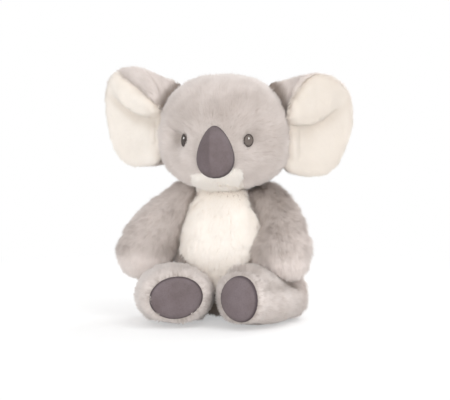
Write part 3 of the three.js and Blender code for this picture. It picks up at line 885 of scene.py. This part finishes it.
def ear_point(ear, x, y, z, bulge):
    """A place in the ear: across, up and out from its middle, tilted outwards at the dish and
    12 degrees inwards at the root."""
    middle, across, up, facing = ear
    tilt = np.radians(EAR_TILT - (EAR_TILT + 12) * bulge)
    turned_x = x * np.cos(tilt) + y * np.sin(tilt)
    turned_y = y * np.cos(tilt) - x * np.sin(tilt)
    return (
        middle + turned_x[..., None] * across + turned_y[..., None] * up
        + (z + 0 * turned_x)[..., None] * facing
    )


def ear_corners(look, turn):
    """How much wider than an oval the ear is: a rounded oval of fullness 2.25, with soft corners
    pushed out by a share at given angles."""
    wider = (np.abs(np.cos(turn)) ** 2.25 + np.abs(np.sin(turn)) ** 2.25) ** (-1 / 2.25)
    for angle, out in look["corners"]:
        wider = wider + out * np.exp(8 * (np.cos(turn - math.radians(angle)) - 1))
    return wider


def cream_rim(look, turn):
    """The share of the way to the ear's outline where the cream ends and the grey turns over: one,
    but for a soft straight cut across the upper inner side. A place's share past the cut is its
    distance along the cut's own direction over the cut's distance."""
    cut_x, cut_y = look["cut_way"]
    past = ear_corners(look, turn) * (np.cos(turn) * cut_x + np.sin(turn) * cut_y)
    return (1 + np.maximum(0, past / look["cut"]) ** 12) ** (-1 / 12)


def past_crease(x, y):
    """How far a place on the cream lies above the rising crease, from shares of the half width and
    height."""
    return 0.85 * EAR_HALF_HEIGHT * (y - 0.18 - 0.526 * x - 0.345 * x * x)


def ear_relief(look, x, y):
    """How far the cream stands out of the rim's plane, from shares of the half width and height: a
    shallow dish, an upper lobe that rolls forward over a rising crease and leaves a hollow under
    it, and a soft ridge beside the head."""
    r = np.minimum(1, np.hypot(x, y))
    dish = -4 * MM * (1 - r * r)
    above = past_crease(x, y)
    held = smoothstep(look["crease_end"], look["crease_end"] - 0.5, x)
    lobe = over_mm(-0.6, 1.2, above) * bell(np.maximum(0, above) / look["lobe"])
    hollow = bell((above + 3 * MM) / (4 * MM))
    low = smoothstep(-0.05, -0.2, y) * smoothstep(-0.85, -0.6, y)
    ridge = bell((x + 0.76 + 0.16 * (y + 0.4)) / 0.1) * low
    return dish + held * (4 * MM * lobe - 1 * MM * hollow) + look["ridge"] * ridge


def ear_back_points(ear, look):
    """The grey back: from the cream's edge over the rim in a soft roll, then backwards and inwards
    to the gathered root, narrowing as it goes, and on into the head. Rows run from the cream to
    the root, columns around."""
    t, turn = grid_around(np.linspace(-0.25, 1, 56), 96)
    over = np.minimum(0, t) / 0.25 + 1
    t = np.maximum(0, t)
    to_root = np.minimum(1, t / 0.8)
    in_root = np.maximum(0, t - 0.8) / 0.2
    bulge = to_root**1.5
    closing = np.sqrt(1 - in_root**2)
    edge = cream_rim(look, turn)
    share = edge - 0.06 + (1.06 - edge) * over
    wide = np.minimum(1, (1 - edge) / 0.25)
    wide_at = EAR_HALF_WIDTH + (EAR_ROOT_HALF_WIDTH - EAR_HALF_WIDTH) * bulge - EAR_INSET
    high_at = EAR_HALF_HEIGHT + (EAR_ROOT_HALF_HEIGHT - EAR_HALF_HEIGHT) * bulge - EAR_INSET
    half_width, half_height = share * closing * wide_at, share * closing * high_at
    gather = 1 + 0.07 * bulge * np.sin(11 * turn) * smoothstep(0.25, 0.9, t)
    roll = wide * (5 * MM * np.sin(math.pi * over) - 3 * MM * (1 - over)) - 1 * MM * (1 - over)
    points = ear_point(
        ear, half_width * ear_corners(look, turn) * np.cos(turn) * gather,
        half_height * ear_corners(look, turn) * np.sin(turn) * gather,
        -EAR_DEPTH * to_root - EAR_RIM_BACK * (1 - to_root) + roll, bulge,
    )
    across, up = ear[1:3]
    points += (-EAR_ROOT_IN * bulge - EAR_SEWN_IN * in_root)[..., None] * across
    points += ((7.5 * MM - look["rise"] * MM) * bulge)[..., None] * up
    return points


def ear_inner_points(ear, look):
    """The cream panel: rows run from its middle out to its edge, where it turns back to meet the
    grey, columns around."""
    v, turn = grid_around(np.linspace(0, 1, 56), 120)
    r = np.sin(math.pi / 2 * v)
    share = r * cream_rim(look, turn) * ear_corners(look, turn)
    x, y = share * np.cos(turn), share * np.sin(turn)
    z = ear_relief(look, x, y) + 4.5 * MM * np.sqrt(np.maximum(0, 1 - r**8)) - EAR_RIM_BACK
    x, y = x * (EAR_HALF_WIDTH - EAR_INSET), y * (EAR_HALF_HEIGHT - EAR_INSET)
    return ear_point(ear, x, y, z, np.zeros_like(r))


# In each look, shade, hollow and beside are painted shade on the cream pile.
EAR_LOOKS = {  # out and rise in mm, corners in degrees and shares
    "left": {
        "sign": 1, "out": 24, "rise": 6, "corners": [(-130, 0.17), (-25, -0.04), (132, 0.11)],
        "cut_way": (-0.8, 0.6), "cut": 1.06, "crease_end": 0.55, "lobe": 26 * MM, "ridge": 2.5 * MM,
        "shade": 1.0, "hollow": 0.4, "beside": 0,
    },
    "right": {
        "sign": -1, "out": 22.5, "rise": 13, "corners": [(52, 0.08), (-125, 0.12)],
        "cut_way": (-0.573, 0.819), "cut": 0.62, "crease_end": 0.62, "lobe": 15 * MM,
        "ridge": -1.5 * MM, "shade": 0.35, "hollow": 0.9, "beside": 0.5,
    },
}


def outside_head(roots):
    """One where a root isn't deep in the head, and zero where it is."""
    return np.where(depth_inside(head_form, roots) > 4 * MM, 0, 1.0)


def ear_back_painted_shade(roots):
    """Painted shade on the pile where the ear is gathered into the head, less so low."""
    high = 0.4 + 0.6 * over_mm(118, 135, roots[:, 2])
    return 0.95 * high * over_mm(-10, -2, depth_inside(head_form, roots))


for name, look in EAR_LOOKS.items():
    ear = ear_frame(look)
    middle, across, up, facing = ear
    back_points, inner_points = ear_back_points(ear, look), ear_inner_points(ear, look)
    if look["sign"] < 0:
        back_points, inner_points = back_points[:, ::-1], inner_points[:, ::-1]
    back_skin = skin(back_points, first_closed=False)
    inner_skin = skin(inner_points, last_closed=False)

    def inner_trim(roots, normals):
        """No pile inside the head. A little longer at the rim, shorter in the dish's middle."""
        reach = np.linalg.norm(flat_part(roots - middle, facing), axis=-1) / EAR_HALF_HEIGHT
        return outside_head(roots) * (0.8 + 0.25 * reach)

    def ear_inner_painted_shade(roots):
        """Painted shade on the pile: even all over, deeper on the left ear, and in the hollow under
        the crease and, on the right ear, beside the head."""
        over, rise, tilt = (roots - middle) @ across, (roots - middle) @ up, math.radians(EAR_TILT)
        x = (over * math.cos(tilt) - rise * math.sin(tilt)) / EAR_HALF_WIDTH
        y = (over * math.sin(tilt) + rise * math.cos(tilt)) / EAR_HALF_HEIGHT
        hollow = bell((past_crease(x, y) + 4 * MM) / (5 * MM))
        beside = look["beside"] * smoothstep(-0.45, -0.75, x) * smoothstep(0.3, 0, y)
        return look["shade"] + look["hollow"] * hollow * smoothstep(1.1, 0.3, x) + beside

    back_cloth = make_mesh(f"ear_back_cloth_{name}", *back_skin, grey_backing)
    back_pile = grow_pile(
        f"ear_back_pile_{name}", back_skin, 38000, 4.8 * MM,
        lambda roots, normals: across - 0.6 * DOWN, lambda roots, normals: outside_head(roots),
        grey_pile, pressed=ear_back_painted_shade,
    )
    inner_cloth = make_mesh(f"ear_inner_cloth_{name}", *inner_skin, cream_backing)
    inner_pile = grow_pile(
        f"ear_inner_pile_{name}", inner_skin, 44000, 4.8 * MM,
        lambda roots, normals: 0.6 * across + DOWN, inner_trim, cream_pile, pull=0.12,
        pressed=ear_inner_painted_shade,
    )
    for piece, finish in (
        (back_cloth, "grey_plush"), (back_pile, "grey_plush"),
        (inner_cloth, "cream_plush"), (inner_pile, "cream_plush"),
    ):
        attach(piece, f"ear_{name}")
    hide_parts(f"ear_back_{name}")
    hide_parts(f"ear_inner_{name}")


# Arms. Each is one soft club of grey plush, loosely stuffed, sewn into the torso's side at the
# shoulder, hanging down and outwards to a blunt hand that rests on the thigh.
def limb_frame(limb):
    """A limb's bowed line, a curve of two lengths with one control point, as a table of places,
    directions and distances along it."""
    start, finish = limb["start"], limb["finish"]
    control = (start + finish) / 2 + limb["bow"]
    t = np.linspace(0, 1, 200)[:, None]
    line = (1 - t) ** 2 * start + 2 * t * (1 - t) * control + t**2 * finish
    steps = np.linalg.norm(np.diff(line, axis=0), axis=-1)
    way = unit(2 * (1 - t) * (control - start) + 2 * t * (finish - control))
    return line, way, np.concatenate([[0], np.cumsum(steps)])


def limb_points(limb):
    """A limb's cloth: ovals across its line, by shares of the widest, closed by round ends. Rows
    run from the start's end to the finish's, evenly by angle, columns around."""
    line, ways, far = limb_frame(limb)
    first, last = limb["start_radius"] - PILE_DEPTH, limb["finish_radius"] - PILE_DEPTH
    v, turn = grid_around(np.linspace(0, 1, 64), 64)
    along = (first + far[-1] + last) * (1 - np.cos(math.pi * v)) / 2 - first
    held = np.clip(along, 0, far[-1])
    place = np.stack([np.interp(held, far, line[:, i]) for i in range(3)], -1)
    way = unit(np.stack([np.interp(held, far, ways[:, i]) for i in range(3)], -1))
    beyond = along - held
    blunt = np.where(beyond < 0, 2, limb["blunt"])
    past = np.abs(beyond) / np.where(beyond < 0, first, last)
    cap = np.maximum(0, 1 - past**blunt) ** (1 / blunt)
    shares = limb["shares"]
    share = np.interp(held / far[-1], np.linspace(0, 1, len(shares)), shares)
    across = unit(np.array([1.0, 0, 0]) - way * way[..., :1])
    deep = np.cross(way, across)
    width = (np.cos(turn) * cap * (limb["half"][0] * share - PILE_DEPTH))[..., None]
    depth = (np.sin(turn) * cap * (limb["half"][1] * share - PILE_DEPTH))[..., None]
    return (place + beyond[..., None] * way + width * across + depth * deep)[:, ::-1]


def dark_tufts(roots, fewest):
    """One for a tuft that shows its darker roots and zero for most, by where its middle falls."""
    chance = np.abs(np.modf(tuft_centres(roots, 2.4 * MM).sum(-1) / MM * 3.7)[0])
    return smoothstep(fewest, 0.95, chance)


ARM_LOOKS = {  # in mm, but for the shares of the widest, from shoulder to hand
    "left": {
        "sign": 1, "shoulder": (34, 2, 91), "hand": (46.5, -22, 49.5), "bow": (14, -3, 5),
        "shares": [0.68, 0.68, 0.69, 0.73, 0.82, 0.94, 0.96],
    },
    "right": {
        "sign": -1, "shoulder": (33, 2, 91), "hand": (63.5, -15, 49.5), "bow": (2, 0, 5),
        "shares": [0.7, 0.74, 0.81, 0.88, 0.94, 0.96, 0.93],
    },
}
for name, look in ARM_LOOKS.items():
    side_mm = np.array([look["sign"], 1, 1]) * MM
    arm = {
        "start": look["shoulder"] * side_mm,
        "finish": look["hand"] * side_mm,
        "bow": look["bow"] * side_mm,
        "start_radius": 19 * MM,
        "finish_radius": 19 * MM,
        "blunt": 2,
        "half": np.array([24.5, 19.5]) * MM,
        "shares": look["shares"],
    }
    arm_way = unit(arm["finish"] - arm["start"])
    arm_skin = skin(limb_points(arm))

    def arm_trim(roots, normals):
        """No pile inside the torso or the head."""
        inside = np.maximum(depth_inside(torso_form, roots), depth_inside(head_form, roots))
        return np.where(inside > 7 * MM, 0, 1.0)

    def arm_painted_shade_and_tufts(roots):
        """The pile is darker from the shoulder to above the hand: on the left arm most at its
        shoulder and, as painted shade, on its inner side, on the right arm most half way down. Some
        of its tufts are dark, and painted shade lies where the arm meets the torso and the head.
        The hand's end is the palest, with painted light."""
        height = roots[:, 2]
        shoulder = 0.17 * over_mm(68, 86, height)
        inner = over_mm(66, 36, np.abs(roots[:, 0]))
        arm_darkening = 0.1 + 0.33 * inner + shoulder if look["sign"] > 0 else 0.36 - shoulder
        mottled = 0.17 * dark_tufts(roots, 0.55) * over_mm(36, 48, height)
        darkened = arm_darkening * over_mm(42, 58, height) + mottled
        touching = np.maximum(0.95 * close_to(torso_form, roots), 0.4 * close_to(head_form, roots))
        # Painted light pales the hand's end.
        return np.maximum(darkened, touching) - 0.4 * over_mm(56, 46, height)

    arm_cloth = make_mesh(f"arm_cloth_{name}", *arm_skin, grey_backing)
    arm_pile = grow_pile(
        f"arm_pile_{name}", arm_skin, 66000, 6.6 * MM,
        lambda roots, normals: arm_way * [1, 0, 1] + [0, 0.3, -0.25], arm_trim, grey_pile,
        tuft=3.2 * MM, pull=0.3, curl=0.22, pressed=arm_painted_shade_and_tufts,
    )
    for piece in (arm_cloth, arm_pile):
        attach(piece, f"arm_{name}")
    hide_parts(f"arm_cover_{name}", f"arm_filling_{name}")


# Legs. Each is a short, stout tube of grey plush, sewn into the torso at the hip and laid forwards
# on the ground with the toes turned in. An oval sole of dark grey microsuede closes its end.
THIGH_FOLD = ((40, 31), (57, 27))  # its ends on the left thigh, to the side and in height, in mm
LEG_LOOKS = {  # in mm, but for the sole's turn in degrees, and shares
    "left": {
        "sign": 1, "hip": (49, -14), "foot": (24, -62), "half": (24.5, 23), "slope": 0.2,
        "sole_half": (15.8, 17.4), "sole_turn": 4, "sole_shift": (2.4, 0.9), "fringe": 0,
        "hand": (48, -21, 49.5),
    },
    "right": {
        "sign": -1, "hip": (40, -14), "foot": (29, -62), "half": (30, 24), "slope": 0,
        "sole_half": (16, 20.2), "sole_turn": 82, "sole_shift": (0.4, 0), "fringe": 0.7,
        "hand": (-64, -14, 49.5),
    },
}
for name, look in LEG_LOOKS.items():
    sign, half, slope = look["sign"], look["half"], look["slope"]
    leg = {
        "start": np.array([sign * look["hip"][0], look["hip"][1], half[1] * 0.78 - 0.5]) * MM,
        "finish": np.array([sign * look["foot"][0], look["foot"][1], half[1] - 0.5]) * MM,
        "bow": np.zeros(3),
        "start_radius": 19 * MM,
        "finish_radius": 16 * MM,
        "blunt": 2.6,
        "half": np.array(half) * MM,
        "shares": [0.78, 0.84, 0.92, 0.98, 1, 0.98, 0.93],
    }
    sole_half, sole_shift = np.array(look["sole_half"]) * MM, np.array(look["sole_shift"]) * MM
    hand = np.array(look["hand"]) * MM
    foot_way = unit((leg["finish"] - leg["start"]) * [1, 1, 0])
    sole_right = np.array([-foot_way[1], foot_way[0], 0])
    sole_angle = math.radians(look["sole_turn"]) * sign
    end_half = leg["half"] * leg["shares"][-1]

    def sole_share(points):
        """How far points are from the sole's middle, seen along the foot, where one is its edge."""
        a = (points - leg["finish"]) @ sole_right - sole_shift[0]
        b = (points - leg["finish"])[..., 2] - sole_shift[1]
        along_width = a * math.cos(sole_angle) + b * math.sin(sole_angle)
        along_length = b * math.cos(sole_angle) - a * math.sin(sole_angle)
        return np.hypot(along_width / sole_half[0], along_length / sole_half[1])

    def past_sole(points):
        """The same share, made larger behind the foot's end, where the sole doesn't reach."""
        behind = over_mm(-2, -12, (points - leg["finish"]) @ foot_way)
        return sole_share(points) + 2 * behind

    def near_place(x, y, reach):
        """One at a place on the ground, in mm, and fading out within about its reach."""
        apart = np.linalg.norm(leg_points[..., :2] - np.array([x, y]) * MM, axis=-1) / (reach * MM)
        return bell(apart)

    # The left thigh slopes outwards, sinks under the hand and swells up behind it.
    leg_points = limb_points(leg)
    outer = np.clip((leg_points - leg["finish"]) @ sole_right - 9 * MM, -22 * MM, 16 * MM)
    upper = over_mm(8, 36, leg_points[..., 2])
    lowered = slope * (outer + 30 * MM * (near_place(52, -38, 15) - near_place(62, -6, 13)))
    leg_points[..., 2] -= upper * smoothstep(1, 1.5, past_sole(leg_points)) * lowered
    leg_points[..., 2] = np.maximum(leg_points[..., 2], 2 * GROUND)
    leg_skin = skin(leg_points)

    def leg_trim(roots, normals):
        """No pile under the sole or in the torso, and short pile beside the sole and beneath."""
        share = past_sole(roots)
        inside = depth_inside(torso_form, roots) > 7 * MM
        length = 0.5 + 0.5 * smoothstep(0.95, 1.4, share)
        length = np.where(normals[:, 2] < -0.85, 0.3, length)
        return np.where(inside | (share < 0.97), 0, length)

    def leg_brush(roots, normals):
        """Away from a point ahead of the sole: outwards round the sole, then back along the leg,
        and down round its rear. The first strands round the right sole turn in over its edge."""
        turned_in = look["fringe"] * smoothstep(1.12, 1.0, sole_share(roots))
        turned_in *= 0.5 + 0.5 * drift(roots, 4 * MM)[:, 0]
        turned_in *= over_mm(-4, 4, (roots - leg["finish"]) @ foot_way)
        turned_in = turned_in[:, None]
        rear = over_mm(-42, -22, roots[:, 1])[:, None]
        away = unit(roots - leg["finish"] - 34 * MM * foot_way) * (1 - 0.75 * rear) + DOWN * rear
        return away * (1 - 1.5 * turned_in) + 0.4 * foot_way * turned_in

    def leg_painted_shade_and_tufts(roots):
        """Painted shade on the pile where the leg meets the torso, the other foot and, in a ring,
        the hand, a little on the top, which the belly shades, and in the left thigh's fold. The
        left leg is a little darker all over, and some of its tufts are dark, most of all beside the
        sole."""
        side, height = np.abs(roots[:, 0]), roots[:, 2]
        beside = over_mm(9, 2, side) * over_mm(34, 12, height)
        to_hand = np.linalg.norm(roots - hand, axis=-1)
        held = 0.4 + 0.6 * over_mm(20, 25, to_hand)
        held *= over_mm(31, 25.5, to_hand)
        held *= over_mm(14, 4, side - abs(hand[0]))
        touching = np.maximum(1.05 * held, 1.4 * beside)
        touching = np.maximum(0.8 * close_to(torso_form, roots), touching)
        top = (0.3 + 0.4 * slope) * over_mm(31, 43, height)
        mottled = 0.3 * slope + 0.12 * dark_tufts(roots, 0.5)
        edge = np.clip(drift(roots, 1.5 * MM)[:, 2], 0, 1)
        edge = 0.35 * smoothstep(1.12, 1.0, past_sole(roots)) * edge
        fold = bell(off_line(roots[:, 0], height, *THIGH_FOLD) / 2.5)
        return np.maximum(touching, top + mottled + edge + 2.2 * slope * fold)

    leg_cloth = make_mesh(f"leg_cloth_{name}", *leg_skin, grey_backing)
    leg_pile = grow_pile(
        f"leg_pile_{name}", leg_skin, 66000, 6.4 * MM, leg_brush, leg_trim, grey_pile,
        tuft=3.2 * MM, pull=0.32, curl=0.35, pressed=leg_painted_shade_and_tufts,
    )
    r, turn = grid_around(np.linspace(0, 1, 30), 72)
    r = np.sin(math.pi / 2 * r)
    a, b = r * sole_half[0] * np.cos(turn), r * sole_half[1] * np.sin(turn)
    a, b = (
        a * math.cos(sole_angle) - b * math.sin(sole_angle) + sole_shift[0],
        a * math.sin(sole_angle) + b * math.cos(sole_angle) + sole_shift[1],
    )
    out = np.hypot(a / end_half[0], b / end_half[1])
    domed = np.maximum(0.02, 1 - out ** leg["blunt"]) ** (1 / leg["blunt"])
    pucker = 0.25 * MM * np.sin(31 * turn) * r**6
    proud = -0.6 * MM - 2.4 * MM * r**16 + pucker
    sole_points = (
        leg["finish"] + a[..., None] * sole_right + b[..., None] * np.array([0, 0, 1.0])
        + (leg["finish_radius"] * domed + proud)[..., None] * foot_way
    )
    sole = make_mesh(f"sole_suede_{name}", *skin(sole_points, last_closed=False), suede)
    # Painted shade in the fold of the sole's seam.
    sole_seam = smoothstep(0.9, 0.99, r)
    mark_points(sole, "seam", np.concatenate([sole_seam[1:].ravel(), sole_seam[0, :1]]))
    for piece, finish in (
        (leg_cloth, "grey_plush"), (leg_pile, "grey_plush"), (sole, "grey_suede"),
    ):
        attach(piece, f"leg_{name}")
    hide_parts(f"leg_cover_{name}", f"leg_filling_{name}")
    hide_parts(f"sole_{name}")


# Room. A white floor without an end under a soft overhead light and an even white surround, seen
# from a little above the toy's middle, as in a catalogue picture.
WHITE = [1, 1, 1, 1]
FLOOR_GREY = [0.56, 0.56, 0.56, 1]  # under the toy, where a glow adds what it lacks to white
floor_material, node = new_material("white_floor")
ray = node("LightPath")
matt = node("BsdfDiffuse", {}, {"Color": FLOOR_GREY})
bounce = node("BsdfDiffuse", {}, {"Color": [0.88, 0.875, 0.865, 1]})
glow = node("Emission", {}, {"Color": WHITE, "Strength": 0.43})
near = node("AddShader", {}, {0: (matt, 0), 1: (glow, 0)})
place = node("TexCoord")
apart = node("VectorMath", {"operation": "LENGTH"}, {0: (place, "Object")})
fade = node("MapRange", {"interpolation_type": "SMOOTHSTEP"}, {
    "Value": (apart, "Value"), "From Min": 0.16, "From Max": 0.45,
})
far = node("Emission", {}, {"Color": WHITE, "Strength": 1.0})
lit = node("MixShader", {}, {0: (fade, 0), 1: (near, 0), 2: (far, 0)})
floor_look = node("MixShader", {}, {0: (ray, "Is Camera Ray"), 1: (bounce, 0), 2: (lit, 0)})
node("OutputMaterial", {}, {"Surface": (floor_look, 0)})
FLOOR_HALF = 4.0
floor_corners = FLOOR_HALF * np.array([[-1, -1, 0], [1, -1, 0], [1, 1, 0], [-1, 1, 0]])
floor = make_mesh(
    "floor", floor_corners, np.array([[0, 1, 2, 3]]), np.zeros((0, 3), int), floor_material
)

scene = bpy.context.scene
world = bpy.data.worlds.new("white_surround")
world.use_nodes = True
world.node_tree.nodes.clear()
node = functools.partial(add_node, world.node_tree)
ray = node("LightPath")
larger = {"operation": "MAXIMUM"}
seen = node("Math", larger, {0: (ray, "Is Camera Ray"), 1: (ray, "Is Glossy Ray")})
seen = node("Math", larger, {0: (seen, 0), 1: (ray, "Is Transmission Ray")})
fill = node("Background", {}, {"Color": WHITE, "Strength": 0.83})
white = node("Background", {}, {"Color": WHITE, "Strength": 1.0})
both = node("MixShader", {}, {0: (seen, 0), 1: (fill, 0), 2: (white, 0)})
node("OutputWorld", {}, {"Surface": (both, 0)})
scene.world = world


def add_softbox(name, place, size, power, aim):
    """A square softbox at a place, of a size in metres and a power in watts, turned to its aim."""
    lamp = bpy.data.lights.new(name, "AREA")
    lamp.shape, lamp.size, lamp.energy = "SQUARE", size, power
    box = bpy.data.objects.new(name, lamp)
    scene.collection.objects.link(box)
    box.location = place
    x, y, z = np.array(aim) - np.array(place)
    box.rotation_euler = (math.atan2(math.hypot(x, y), -z), 0, math.atan2(-x, y))


toy_middle = (0, -0.01, 0.1)
add_softbox("overhead", (0.6, -0.35, 1.1), 0.8, 4.2, toy_middle)
add_softbox("behind", (0.55, 1.1, 0.9), 0.7, 6.0, toy_middle)
add_softbox("front", (0.0, -1.5, 0.22), 0.42, 6.3, toy_middle)

azimuth, elevation, distance = math.radians(8.5), math.radians(4), 1.0
CAMERA_AIM = [0, 0, 0.0924]
SENSOR_WIDTH = 36  # mm
SEEN_WIDTH = 0.36  # across the picture, at the toy
camera = bpy.data.objects.new("camera", bpy.data.cameras.new("camera"))
scene.collection.objects.link(camera)
way = np.array([
    math.sin(azimuth) * math.cos(elevation),
    -math.cos(azimuth) * math.cos(elevation),
    math.sin(elevation),
])
camera.location = np.array(CAMERA_AIM) + distance * way
camera.rotation_euler = (math.pi / 2 - elevation, 0, azimuth)
camera.data.sensor_width = SENSOR_WIDTH
camera.data.lens = SENSOR_WIDTH * distance / SEEN_WIDTH
scene.camera = camera
scene.view_settings.view_transform = "Standard"
